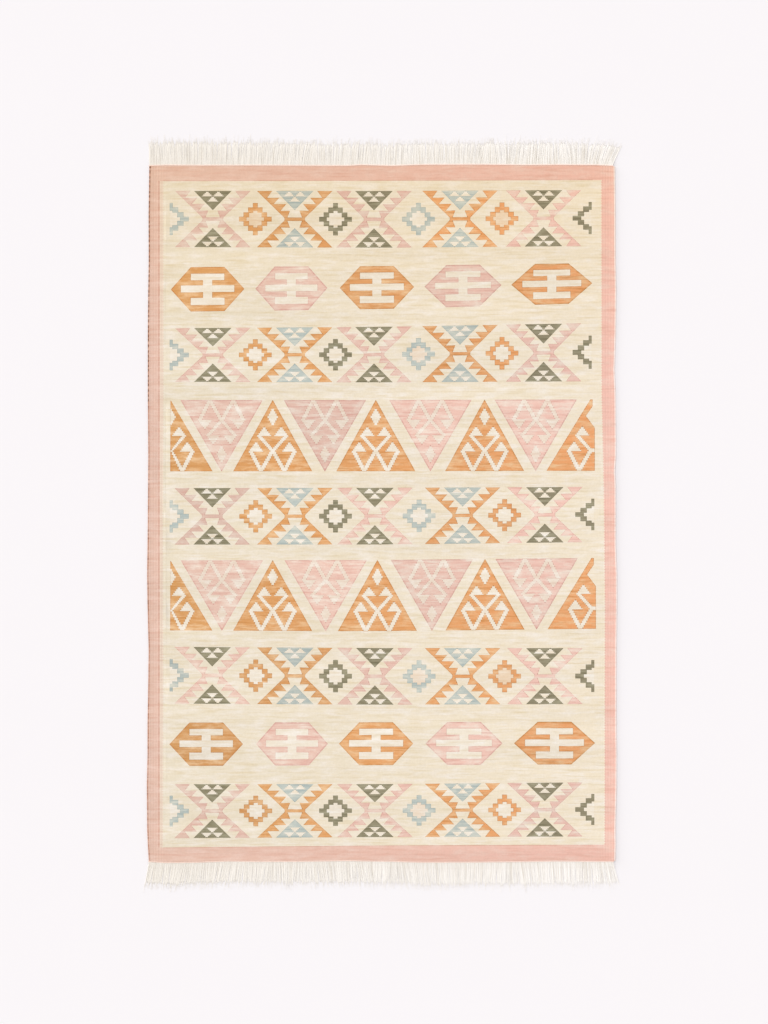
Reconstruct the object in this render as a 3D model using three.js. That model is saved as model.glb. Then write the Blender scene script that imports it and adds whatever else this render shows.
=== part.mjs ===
// A flat-woven kilim rug lying face up on a floor, in millimetres.
// X runs across the rug, Y runs along it with the longer-fringed end at +Y, and Z is up from the floor.
// The rug is one woven cloth with a corded selvedge down each side. At each end its warps leave the
// cloth through a narrow twined row and lie on the floor as a fringe.

import * as THREE from "three";
import { mergeVertices } from "three/addons/utils/BufferGeometryUtils.js";

// Driving dimensions.
const clothWidth = 1600;
const clothLength = 2377;
const clothThickness = 4;
const selvedgeRound = 1; // how far the floor and top edges of a selvedge draw in from its widest line
const selvedgeWidestHeight = 2.2;

const pieceGap = 0.3; // between the cloth and each twined row
const twinedRowWidth = 6;
const twinedRowHeight = 3.6;

const locksPerEnd = 150; // each lock stands for two or three warp yarns
const lockRootWidth = 6.2;
const lockBendWidth = 5.4;
const lockTipWidth = 2.6;
const lockRootHeight = 3.2;
const lockBendHeight = 2.4;
const lockTipHeight = 1.6;
const lockEndMargin = 3; // from the rug's side to the first lock
const bendPlace = 0.5; // share of the lock's length before its bend
const bendSway = 0.8; // share of the whole sideways lean that the first stretch takes

const fewestInClump = 3;
const mostInClump = 7;
const clumpGather = 0.24; // share of its distance from the clump's middle that a lock's tip gives up
const bendSpread = 1.2; // random sideways shift at the middle of a lock
const tipSpread = 1.8; // random sideways shift at its tip
const raggedLength = 5; // random difference in length
const lockClearance = 0.8; // least space between two locks
const farSeed = 1000;
const nearSeed = 9000;

// Height of the cloth's face beside a side edge: a corded selvedge, then the flat cloth.
const selvedgeProfile = [
  { inset: 0, height: 3.4 },
  { inset: 2.2, height: 4.9 },
  { inset: 5.4, height: 4.9 },
  { inset: 8.5, height: clothThickness },
];

// How far the two sides stray outwards from straight lines, at distances along from the near end.
const sides = [
  { along: 0, left: -2.7, right: -2.0 },
  { along: 55, left: 0.7, right: -0.7 },
  { along: 107, left: 2.7, right: -1.7 },
  { along: 261, left: 4.1, right: 2.2 },
  { along: 363, left: 1.7, right: 2.9 },
  { along: 466, left: 1.7, right: 1.4 },
  { along: 620, left: -1.0, right: 1.2 },
  { along: 723, left: -2.2, right: 1.7 },
  { along: 877, left: 1.7, right: 3.6 },
  { along: 979, left: 3.1, right: 3.4 },
  { along: 1082, left: 1.7, right: -0.7 },
  { along: 1287, left: -0.3, right: -0.7 },
  { along: 1336, left: -0.6, right: -3.8 },
  { along: 1388, left: -1.0, right: 0.3 },
  { along: 1595, left: 0.7, right: -1.0 },
  { along: 1680, left: 0.7, right: -4.8 },
  { along: 1800, left: 0.7, right: -1.0 },
  { along: 1954, left: -0.7, right: 0.7 },
  { along: 2056, left: -2.4, right: -1.7 },
  { along: 2210, left: -1.9, right: -2.2 },
  { along: clothLength, left: -4.4, right: -4.1 },
];

// How far the two ends stray outwards from straight lines, at distances across from the middle.
const ends = [
  { across: -800, far: -1.6, near: -1.2 },
  { across: -740, far: 0.4, near: 3.0 },
  { across: -630, far: -0.4, near: 2.0 },
  { across: -526, far: -0.3, near: -2.2 },
  { across: -424, far: 0.0, near: -0.6 },
  { across: -270, far: -0.8, near: -1.0 },
  { across: -116, far: -1.4, near: -3.6 },
  { across: -65, far: 1.6, near: -2.4 },
  { across: 38, far: -1.6, near: -1.0 },
  { across: 140, far: 2.2, near: 2.2 },
  { across: 345, far: 2.8, near: 1.4 },
  { across: 500, far: 1.0, near: -0.4 },
  { across: 602, far: 2.0, near: -2.0 },
  { across: 740, far: 1.2, near: -0.6 },
  { across: 800, far: -2.0, near: -0.4 },
];

// How each fringe lies: its reach past the twined row, and the sideways lean of its locks.
const farFringe = [
  { across: -800, reach: 72, lean: -0.06 },
  { across: -640, reach: 74, lean: 0.0 },
  { across: -480, reach: 75, lean: 0.05 },
  { across: -340, reach: 76, lean: 0.08 },
  { across: -250, reach: 74, lean: 0.16 },
  { across: -215, reach: 73, lean: -0.06 },
  { across: -120, reach: 72, lean: 0.12 },
  { across: 0, reach: 71, lean: 0.04 },
  { across: 120, reach: 72, lean: 0.0 },
  { across: 240, reach: 72, lean: -0.06 },
  { across: 345, reach: 73, lean: 0.2 },
  { across: 405, reach: 74, lean: -0.12 },
  { across: 450, reach: 74, lean: 0.14 },
  { across: 560, reach: 73, lean: 0.06 },
  { across: 650, reach: 71, lean: -0.14 },
  { across: 710, reach: 70, lean: 0.18 },
  { across: 760, reach: 68, lean: 0.32 },
  { across: 800, reach: 59, lean: 0.48 },
];
const nearFringe = [
  { across: -800, reach: 66, lean: -0.18 },
  { across: -730, reach: 68, lean: -0.08 },
  { across: -675, reach: 67, lean: -0.22 },
  { across: -610, reach: 66, lean: -0.06 },
  { across: -540, reach: 65, lean: -0.2 },
  { across: -450, reach: 63, lean: -0.04 },
  { across: -400, reach: 64, lean: -0.12 },
  { across: -350, reach: 63, lean: 0.06 },
  { across: -300, reach: 64, lean: -0.1 },
  { across: -200, reach: 65, lean: 0.18 },
  { across: -110, reach: 66, lean: 0.02 },
  { across: -70, reach: 66, lean: 0.16 },
  { across: 20, reach: 65, lean: -0.04 },
  { across: 80, reach: 67, lean: 0.2 },
  { across: 150, reach: 68, lean: 0.12 },
  { across: 250, reach: 68, lean: 0.02 },
  { across: 420, reach: 69, lean: -0.06 },
  { across: 470, reach: 71, lean: 0.14 },
  { across: 620, reach: 70, lean: 0.04 },
  { across: 740, reach: 68, lean: 0.08 },
  { across: 800, reach: 66, lean: 0.28 },
];

// Reads a column of a table at a place between its rows.
function readTable(rows, placeColumn, valueColumn, place) {
  let next = rows.findIndex((row) => row[placeColumn] > place);
  if (next < 0) next = rows.length - 1;
  if (next === 0) next = 1;
  const before = rows[next - 1];
  const after = rows[next];
  const share = THREE.MathUtils.clamp(
    (place - before[placeColumn]) / (after[placeColumn] - before[placeColumn]),
    0,
    1,
  );
  return THREE.MathUtils.lerp(before[valueColumn], after[valueColumn], share);
}

// The same shuffled value between -1 and 1 each time it is asked for.
function scatter(seed) {
  return 2 * THREE.MathUtils.seededRandom(seed) - 1;
}

// How far a side or an end lies from the rug's middle, at a place along or across.
function sideDistance(side, along) {
  return clothWidth / 2 + readTable(sides, "along", side, along);
}
function endDistance(end, across) {
  return clothLength / 2 + readTable(ends, "across", end, across);
}

// The cloth is a box grid. Its rows stretch between the two sides and its columns between the two ends.
function makeCloth() {
  const insets = selvedgeProfile.map((row) => row.inset);
  const flatHalfWidth = clothWidth / 2 - Math.max(...insets);
  const columns = [
    ...insets.map((inset) => inset - clothWidth / 2),
    ...ends.map((row) => row.across).filter((across) => Math.abs(across) < flatHalfWidth),
    ...insets.map((inset) => clothWidth / 2 - inset).reverse(),
  ];
  const rows = sides.map((row) => row.along);
  const box = new THREE.BoxGeometry(1, 1, 1, columns.length - 1, rows.length - 1, 2);
  box.deleteAttribute("normal");
  box.deleteAttribute("uv");
  const cloth = mergeVertices(box, 1e-5);
  const point = cloth.attributes.position;
  for (let i = 0; i < point.count; i += 1) {
    const across = columns[Math.round((point.getX(i) + 0.5) * (columns.length - 1))];
    const along = rows[Math.round((point.getY(i) + 0.5) * (rows.length - 1))];
    const level = Math.round((point.getZ(i) + 0.5) * 2); // 0 on the floor, 1 halfway, 2 the face
    const inset = clothWidth / 2 - Math.abs(across);

    // The selvedges keep their width, and the floor and top lines of the outermost one draw in.
    const side = across < 0 ? "left" : "right";
    const strays = sideDistance(side, along) - clothWidth / 2;
    const drawnIn = inset === 0 && level !== 1 ? selvedgeRound : 0;
    const stretch = Math.min(1, Math.abs(across) / flatHalfWidth);
    const x = across + Math.sign(across) * (strays * stretch - drawnIn);

    const y = THREE.MathUtils.lerp(-endDistance("near", x), endDistance("far", x), along / clothLength);
    const faceHeight = readTable(selvedgeProfile, "inset", "height", inset);
    const z = [0, inset === 0 ? selvedgeWidestHeight : faceHeight / 2, faceHeight][level];
    point.setXYZ(i, x, y, z);
  }
  cloth.computeVertexNormals();
  return cloth;
}

// The lock in the middle of each lock's clump. Clumps differ in size, as combed yarns do.
function clumpMiddles(seed) {
  const middles = [];
  while (middles.length < locksPerEnd) {
    const sizeShare = THREE.MathUtils.seededRandom(seed + middles.length);
    const size = Math.round(THREE.MathUtils.lerp(fewestInClump, mostInClump, sizeShare));
    const middle = middles.length + (size - 1) / 2;
    for (let i = 0; i < size; i += 1) middles.push(middle);
  }
  return middles;
}

// Where every lock of a fringe lies, from the left: its root, its bend and its tip. A lock keeps clear
// of the one before it, whatever the lean and the clumps ask for.
function layLocks(end, rowLeft, rowRight, table, seed) {
  const firstRoot = rowLeft + lockEndMargin + lockRootWidth / 2;
  const lastRoot = rowRight - lockEndMargin - lockRootWidth / 2;
  const pitch = (lastRoot - firstRoot) / (locksPerEnd - 1);
  const middles = clumpMiddles(seed);
  const locks = [];
  for (let lock = 0; lock < locksPerEnd; lock += 1) {
    const lockSeed = seed + locksPerEnd + 3 * lock; // three scattered values for each lock
    const rootX = firstRoot + pitch * lock;
    const rootY = endDistance(end, rootX) + pieceGap + twinedRowWidth;
    const reach = readTable(table, "across", "reach", rootX) + raggedLength * scatter(lockSeed);
    const sway = readTable(table, "across", "lean", rootX) * reach;
    const gather = (middles[lock] - lock) * pitch * clumpGather;
    let bendX = rootX + bendPlace * (bendSway * sway + gather) + bendSpread * scatter(lockSeed + 1);
    let tipX = rootX + sway + gather + tipSpread * scatter(lockSeed + 2);
    if (lock > 0) {
      const before = locks[lock - 1];
      bendX = Math.max(bendX, before.bend.x + lockBendWidth + lockClearance);
      tipX = Math.max(tipX, before.tip.x + lockBendWidth + lockClearance);
    }
    locks.push({
      root: { x: rootX, y: rootY, width: lockRootWidth, height: lockRootHeight },
      bend: { x: bendX, y: rootY + bendPlace * reach, width: lockBendWidth, height: lockBendHeight },
      tip: { x: tipX, y: rootY + reach, width: lockTipWidth, height: lockTipHeight },
    });
  }
  return locks;
}

// A flat plate from its plan: points with a height each, and triangles that turn left seen from above.
// Every side of a triangle that no other triangle shares gets a wall down to the floor.
function makePlate(points, triangles) {
  const floorPoints = points.flatMap((p) => [p.x, p.y, 0]);
  const facePoints = points.flatMap((p) => [p.x, p.y, p.height]);
  const count = points.length;
  const edges = triangles.flatMap(([a, b, c]) => [[a, b], [b, c], [c, a]]);
  const edgeNames = new Set(edges.map(([from, to]) => from + " to " + to));
  const rim = edges.filter(([from, to]) => !edgeNames.has(to + " to " + from));
  const index = [];
  triangles.forEach(([a, b, c]) => index.push(a + count, b + count, c + count, a, c, b));
  rim.forEach(([from, to]) => index.push(from, to, to + count, from, to + count, from + count));
  const plate = new THREE.BufferGeometry();
  plate.setAttribute("position", new THREE.Float32BufferAttribute([...floorPoints, ...facePoints], 3));
  plate.setIndex(index);
  return plate;
}

// A fringe is a comb: the twined row along the cloth's end, with every lock growing out of it.
// Its plan is drawn with the locks towards +Y, and the near fringe is turned over to face -Y.
function makeFringe(end, table, seed) {
  const points = [];
  const triangles = [];
  const addPoint = (x, y, height) => points.push({ x, y, height }) - 1;
  const addAcross = (station) => [
    addPoint(station.x - station.width / 2, station.y, station.height),
    addPoint(station.x + station.width / 2, station.y, station.height),
  ];
  const clothEdge = (x) => endDistance(end, x) + pieceGap;
  const along = end === "far" ? clothLength : 0;
  const rowLeft = selvedgeRound - sideDistance("left", along);
  const rowRight = sideDistance("right", along) - selvedgeRound;

  let lastInner = addPoint(rowLeft, clothEdge(rowLeft), twinedRowHeight);
  let lastOuter = addPoint(rowLeft, clothEdge(rowLeft) + twinedRowWidth, lockRootHeight);
  layLocks(end, rowLeft, rowRight, table, seed).forEach((lock) => {
    const inner = addPoint(lock.root.x, clothEdge(lock.root.x), twinedRowHeight);
    let [left, right] = addAcross(lock.root);
    triangles.push([lastInner, inner, lastOuter], [inner, left, lastOuter], [inner, right, left]);
    [lastInner, lastOuter] = [inner, right];
    [lock.bend, lock.tip].forEach((station) => {
      const [nextLeft, nextRight] = addAcross(station);
      triangles.push([left, right, nextRight], [left, nextRight, nextLeft]);
      [left, right] = [nextLeft, nextRight];
    });
  });
  const inner = addPoint(rowRight, clothEdge(rowRight), twinedRowHeight);
  const outer = addPoint(rowRight, clothEdge(rowRight) + twinedRowWidth, lockRootHeight);
  triangles.push([lastInner, inner, lastOuter], [inner, outer, lastOuter]);

  if (end === "near") {
    points.forEach((p) => (p.y = -p.y));
    triangles.forEach((corners) => corners.reverse());
  }
  const fringe = makePlate(points, triangles);
  fringe.computeVertexNormals();
  return fringe;
}

const woolFlatweave = new THREE.MeshStandardMaterial({ color: 0xf0e0c4, roughness: 0.95, metalness: 0 });
const ivoryYarn = new THREE.MeshStandardMaterial({ color: 0xf0ece2, roughness: 0.92, metalness: 0 });

const rug = new THREE.Group();

function addPiece(name, geometry, material) {
  const piece = new THREE.Mesh(geometry, material);
  piece.name = name;
  rug.add(piece);
}

addPiece("woven_cloth", makeCloth(), woolFlatweave);
addPiece("fringe_far", makeFringe("far", farFringe, farSeed), ivoryYarn);
addPiece("fringe_near", makeFringe("near", nearFringe, nearSeed), ivoryYarn);

// The origin is on the floor, under the middle of the rug's box.
const box = new THREE.Box3().setFromObject(rug);
const middle = box.getCenter(new THREE.Vector3());
rug.children.forEach((piece) => piece.position.set(-middle.x, -middle.y, -box.min.z));

export default rug;
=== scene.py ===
import math
import random

import bpy
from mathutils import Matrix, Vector
from mathutils.geometry import delaunay_2d_cdt


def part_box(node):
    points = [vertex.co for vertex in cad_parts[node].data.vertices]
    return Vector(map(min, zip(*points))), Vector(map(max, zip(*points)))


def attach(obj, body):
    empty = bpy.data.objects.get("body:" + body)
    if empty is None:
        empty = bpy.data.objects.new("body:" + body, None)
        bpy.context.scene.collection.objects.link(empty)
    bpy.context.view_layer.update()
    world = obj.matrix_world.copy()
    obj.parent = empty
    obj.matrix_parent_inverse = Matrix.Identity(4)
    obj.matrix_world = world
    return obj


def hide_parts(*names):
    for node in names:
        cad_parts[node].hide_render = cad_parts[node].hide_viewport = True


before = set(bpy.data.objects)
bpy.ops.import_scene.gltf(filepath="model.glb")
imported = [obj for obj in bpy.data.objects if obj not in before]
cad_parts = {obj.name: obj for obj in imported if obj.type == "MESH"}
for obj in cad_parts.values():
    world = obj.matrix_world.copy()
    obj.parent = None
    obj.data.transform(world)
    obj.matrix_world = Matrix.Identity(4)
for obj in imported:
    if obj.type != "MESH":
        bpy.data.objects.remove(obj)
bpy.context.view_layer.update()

# A flat-woven wool kilim, face up on a pale studio floor, seen from straight above.
# Blender works in metres. The weaving is laid out in millimetres from the middle of the cloth.
mm = 0.001
clothLow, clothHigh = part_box("woven_cloth")
clothMiddle = (clothLow + clothHigh) / 2


def linear(hexCode):
    channels = [int(hexCode[i:i + 2], 16) / 255 for i in (0, 2, 4)]
    return tuple(c / 12.92 if c <= 0.04045 else ((c + 0.055) / 1.055) ** 2.4 for c in channels) + (1.0,)


def addNode(tree, kind, settings=None, inputs=None):
    made = tree.nodes.new("ShaderNode" + kind)
    for name, value in (settings or {}).items():
        setattr(made, name, value)
    for socket, value in (inputs or {}).items():
        if isinstance(value, tuple) and isinstance(value[0], bpy.types.Node):
            tree.links.new(value[0].outputs[value[1]], made.inputs[socket])
        else:
            made.inputs[socket].default_value = value
    return made


def newMaterial(name):
    made = bpy.data.materials.new(name)
    made.use_nodes = True
    made.node_tree.nodes.clear()
    return made, made.node_tree


def newPiece(name, points, faces, materials):
    mesh = bpy.data.meshes.new(name)
    mesh.from_pydata(points, [], faces)
    for material in materials:
        mesh.materials.append(material)
    piece = bpy.data.objects.new(name, mesh)
    bpy.context.scene.collection.objects.link(piece)
    return piece


def dressFaces(piece, slots, lots, sharpAngle):
    mesh = piece.data
    mesh.polygons.foreach_set("material_index", slots)
    # On the fringes these per-face values also carry painted shade and light, besides each yarn's tone.
    mesh.attributes.new("dyeLotAndShade", "FLOAT", "FACE").data.foreach_set("value", lots)
    mesh.polygons.foreach_set("use_smooth", [True] * len(mesh.polygons))
    mesh.set_sharp_from_angle(angle=math.radians(sharpAngle))
    mesh.update()


def inRoom(x, y, z):
    # From millimetres on the cloth to metres in the room.
    return clothMiddle.x + x * mm, clothMiddle.y + y * mm, z * mm


def readLine(line, at):
    # The height of a line through a few points, at one place along it.
    if at <= line[0][0]:
        return line[0][1]
    for (x0, y0), (x1, y1) in zip(line, line[1:]):
        if at <= x1:
            return y0 + (y1 - y0) * (at - x0) / (x1 - x0)
    return line[-1][1]


def evenly(low, high, steps):
    return [low + (high - low) * i / steps for i in range(steps + 1)]


def smooth(share):
    share = min(1.0, max(0.0, share))
    return share * share * (3 - 2 * share)


# Camera and studio.
camera = {
    "lens": 85,
    "sensor": 36,
    "frameLength": 3.5016,  # how much floor the picture's long side takes in
    "aim": (0.0104, 0.0050),  # from the middle of the cloth
}
cameraData = bpy.data.cameras.new("cameraAbove")
cameraData.lens = camera["lens"]
cameraData.sensor_width = camera["sensor"]
cameraData.clip_end = 100
cameraAbove = bpy.data.objects.new("cameraAbove", cameraData)
cameraAbove.location = (
    clothMiddle.x + camera["aim"][0],
    clothMiddle.y + camera["aim"][1],
    clothHigh.z + camera["frameLength"] * camera["lens"] / camera["sensor"],
)
bpy.context.scene.collection.objects.link(cameraAbove)
bpy.context.scene.camera = cameraAbove

studio = {
    "floorSize": 70,
    "floor": "F6F4F5",
    "floorCloud": "F5F3F4",
    "dome": "FFFCFD",
    "domeStrength": 0.75,
    "keyStrength": 0.80,
    "keyFrom": (-0.5, 0.55, 1.3),
    "keySoftness": 40,
    "rakeStrength": 1.5,
    "rakeFrom": (-1.0, 0.6, 0.2),
    "rakeSoftness": 35,
}


def paintedFloor():
    # Matt painted studio floor, rolled smooth: plain and pale, with a breath of unevenness.
    material, tree = newMaterial("paint_matt_rolled")
    place = addNode(tree, "TexCoord")
    cloud = addNode(tree, "TexNoise", inputs={"Vector": (place, "Object"), "Scale": 3.0})
    tone = addNode(tree, "Mix", {"data_type": "RGBA"}, {0: (cloud, "Fac")})
    tone.inputs[6].default_value = linear(studio["floor"])
    tone.inputs[7].default_value = linear(studio["floorCloud"])
    shader = addNode(tree, "BsdfPrincipled", inputs={
        "Base Color": (tone, 2), "Roughness": 0.9, "Specular IOR Level": 0.1})
    addNode(tree, "OutputMaterial", inputs={"Surface": (shader, "BSDF")})
    return material


halfFloor = studio["floorSize"] / 2
floor = newPiece("studio_floor", [(-halfFloor, -halfFloor, 0), (halfFloor, -halfFloor, 0),
                                  (halfFloor, halfFloor, 0), (-halfFloor, halfFloor, 0)],
                 [(0, 1, 2, 3)], [paintedFloor()])

for name in ("key", "rake"):
    lamp = bpy.data.lights.new(name + "Light", "SUN")
    lamp.energy = studio[name + "Strength"]
    lamp.angle = math.radians(studio[name + "Softness"])
    lampObject = bpy.data.objects.new(name + "Light", lamp)
    lampObject.rotation_euler = Vector(studio[name + "From"]).to_track_quat("Z", "Y").to_euler()
    bpy.context.scene.collection.objects.link(lampObject)

world = bpy.data.worlds.new("studioDome")
world.use_nodes = True
background = world.node_tree.nodes["Background"]
background.inputs["Color"].default_value = linear(studio["dome"])
background.inputs["Strength"].default_value = studio["domeStrength"]
bpy.context.scene.world = world
bpy.context.scene.view_settings.view_transform = "Standard"
print("studio ready")

# The yarns of the cloth; lengths in millimetres.
weave = {
    "warpPitch": 4.5,  # one warp; an edge between two colours moves over by one at a time
    "ribPitch": 9.2,  # one rib alone is finer than a pixel from above, so they are drawn two by two
    "floatLength": 2.4,  # along the warp, from one pass of weft over it to the next
    "streakSize": (115, 8.5),  # along the wefts and across them
    "blotchSize": (75, 24),
    "shadeSize": (900, 70),
    "turning": 1.1,  # painted shade: a darker ring this wide, where wefts turn back round a shape
    "rimShadeWidth": 3.0,  # painted shade: the largest motifs are drawn darker in a rim this wide
    "paleBlotches": (0.46, 0.68),  # the stretch of the noise over which a colour drifts
    "paleStreaks": (0.52, 0.7),
    "deepStreaks": (0.5, 0.72),
    "sunnedAlong": (0.5, 1.15),  # in metres from the middle
    "sunned": (0.985, 0.945, 0.87, 1),
    "ribsAcross": (0.735, 0.76),  # in metres from the middle
    "ribsInField": 0.15,
    "shades": (0.955, 1.015),
    "grooveShade": (0.965, 1.02),
    "floatRelief": 0.1,
    "streakRelief": 0.35,
    "reliefHeight": 0.0009,
}

# Wool yarn, dyed by hand in small lots and beaten down hard over the warps. "left" and "right" are
# its colour at the two sides, paler at the right with painted light. "deep" and "pale" are what a
# colour drifts to along the wefts. "turned" (where the wefts turn back) and "rim" (along the edges of
# a large motif) are the yarn darkened with painted shade. The rest is how strongly it shows streaks,
# blotches, ribs and the differences between lots.
commonWool = {"streak": 0.8, "blotch": 0.9, "rib": 0.5, "lot": 0.5}
yarns = {
    "fieldCream": {"left": "ECE1C9", "right": "F2E5CC", "deep": "E3D2AE", "pale": "F6EEE1", "lot": 0.0},
    "motifCream": {"left": "EFE5D2", "right": "F3E8D3", "deep": "E6D5B6", "pale": "F9F4EA"},
    "fadedCream": {"left": "E8D8C4", "right": "EFDFCC", "deep": "E2C8B4", "pale": "F7F0E4",
                   "blotch": 1.0},
    "peachCream": {"left": "EBD4B3", "right": "F0D7B9", "deep": "E3BE92", "pale": "F6E8D3"},
    "shellCream": {"left": "EDDCC4", "right": "F1DFC9", "deep": "E5C9A8", "pale": "F6EEE0"},
    "seamCream": {"left": "EAD5C0", "right": "F0D6C4", "deep": "DDBDA6", "pale": "F1E0CE", "lot": 0.0},
    "dustyRose": {"left": "E5C2AF", "right": "F1C1B1", "deep": "D9A18B", "pale": "F0D3C4",
                  "streak": 0.5, "blotch": 0.65, "rib": 0.75, "lot": 0.0, "turned": "D5A08B"},
    # The right selvedge: a near-white rose, a painted highlight where that edge catches the light.
    "paleRose": {"left": "F8E0D5", "right": "FFEDE4", "deep": "F6D5C8", "pale": "FFF4EE", "blotch": 0.6,
                 "rib": 0.3, "lot": 0.0},
    "motifPink": {"left": "E2C1AF", "right": "F2C8B9", "deep": "D89E90", "pale": "F2E5D5",
                  "streak": 0.65, "lot": 1.0, "turned": "D09B90", "rim": "DCADA0"},
    "apricot": {"left": "D8A164", "right": "F1A972", "deep": "C6823F", "pale": "F0CA9C", "streak": 0.7,
                "blotch": 1.0, "lot": 0.8, "turned": "B0763F", "rim": "DA985A"},
    "sage": {"left": "918A6E", "right": "938A71", "deep": "6F6A4F", "pale": "B2AD92", "streak": 0.9,
             "blotch": 0.8, "turned": "6A654A"},
    "mistBlue": {"left": "BAC4BD", "right": "C0C8C0", "deep": "9FAEAC", "pale": "DCDCCD", "streak": 0.9,
                 "blotch": 1.0, "lot": 0.8, "turned": "94A29E"},
    # The left selvedge's yarns: darker yarns of their own, drawn darker still with painted shade of that
    # edge.
    "terracotta": {"left": "BE8C74", "right": "C79F8D", "deep": "8A604E", "pale": "DDBBAA",
                   "streak": 0.9, "blotch": 0.8, "rib": 0.3, "lot": 0.0},
    "darkBrown": {"left": "8A6048", "right": "8A6048", "deep": "6E4A38", "pale": "A57E66",
                  "streak": 0.6, "blotch": 0.6, "rib": 0.3, "lot": 0.0},
}
for name in list(yarns):
    yarns[name] = dict(commonWool, **yarns[name])
    # The turned and rim copies of a yarn are one darker colour of it: painted shade.
    for part in ("turned", "rim"):
        if part in yarns[name]:
            edge = yarns[name][part]
            yarns[name + part.title()] = dict(yarns[name], left=edge, right=edge)
yarnOrder = list(yarns)


def stretchedNoise(tree, place, size, shift, detail, roughness):
    # Noise drawn out along the wefts; its length and height are in millimetres.
    length, height = size
    stretched = addNode(tree, "Mapping", inputs={
        "Vector": (place, "Object"), "Scale": (1000 / length, 1000 / height, 1),
        "Location": (shift, shift * 2.3, 0)})
    return addNode(tree, "TexNoise", inputs={
        "Vector": (stretched, "Vector"), "Scale": 1.0, "Detail": detail, "Roughness": roughness})


def mixTowards(tree, colour, hexCode, noise, window, amount):
    # Lets a colour drift towards another where the noise passes through the window.
    share = addNode(tree, "MapRange", inputs={
        "Value": (noise, "Fac"), "From Min": window[0], "From Max": window[1], "To Max": amount})
    mixed = addNode(tree, "Mix", {"data_type": "RGBA"}, {
        0: (share, "Result"), 6: colour, 7: linear(hexCode)})
    return mixed, 2


def paintedLightAcross(tree, axes, look):
    # Painted light: each colour is drawn a little warmer and paler towards the right of the rug.
    across = addNode(tree, "MapRange", inputs={
        "Value": (axes, "X"), "From Min": -0.8, "From Max": 0.8})
    dye = addNode(tree, "Mix", {"data_type": "RGBA"}, {
        0: (across, "Result"), 6: linear(look["left"]), 7: linear(look["right"])})
    return dye, 2


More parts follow.
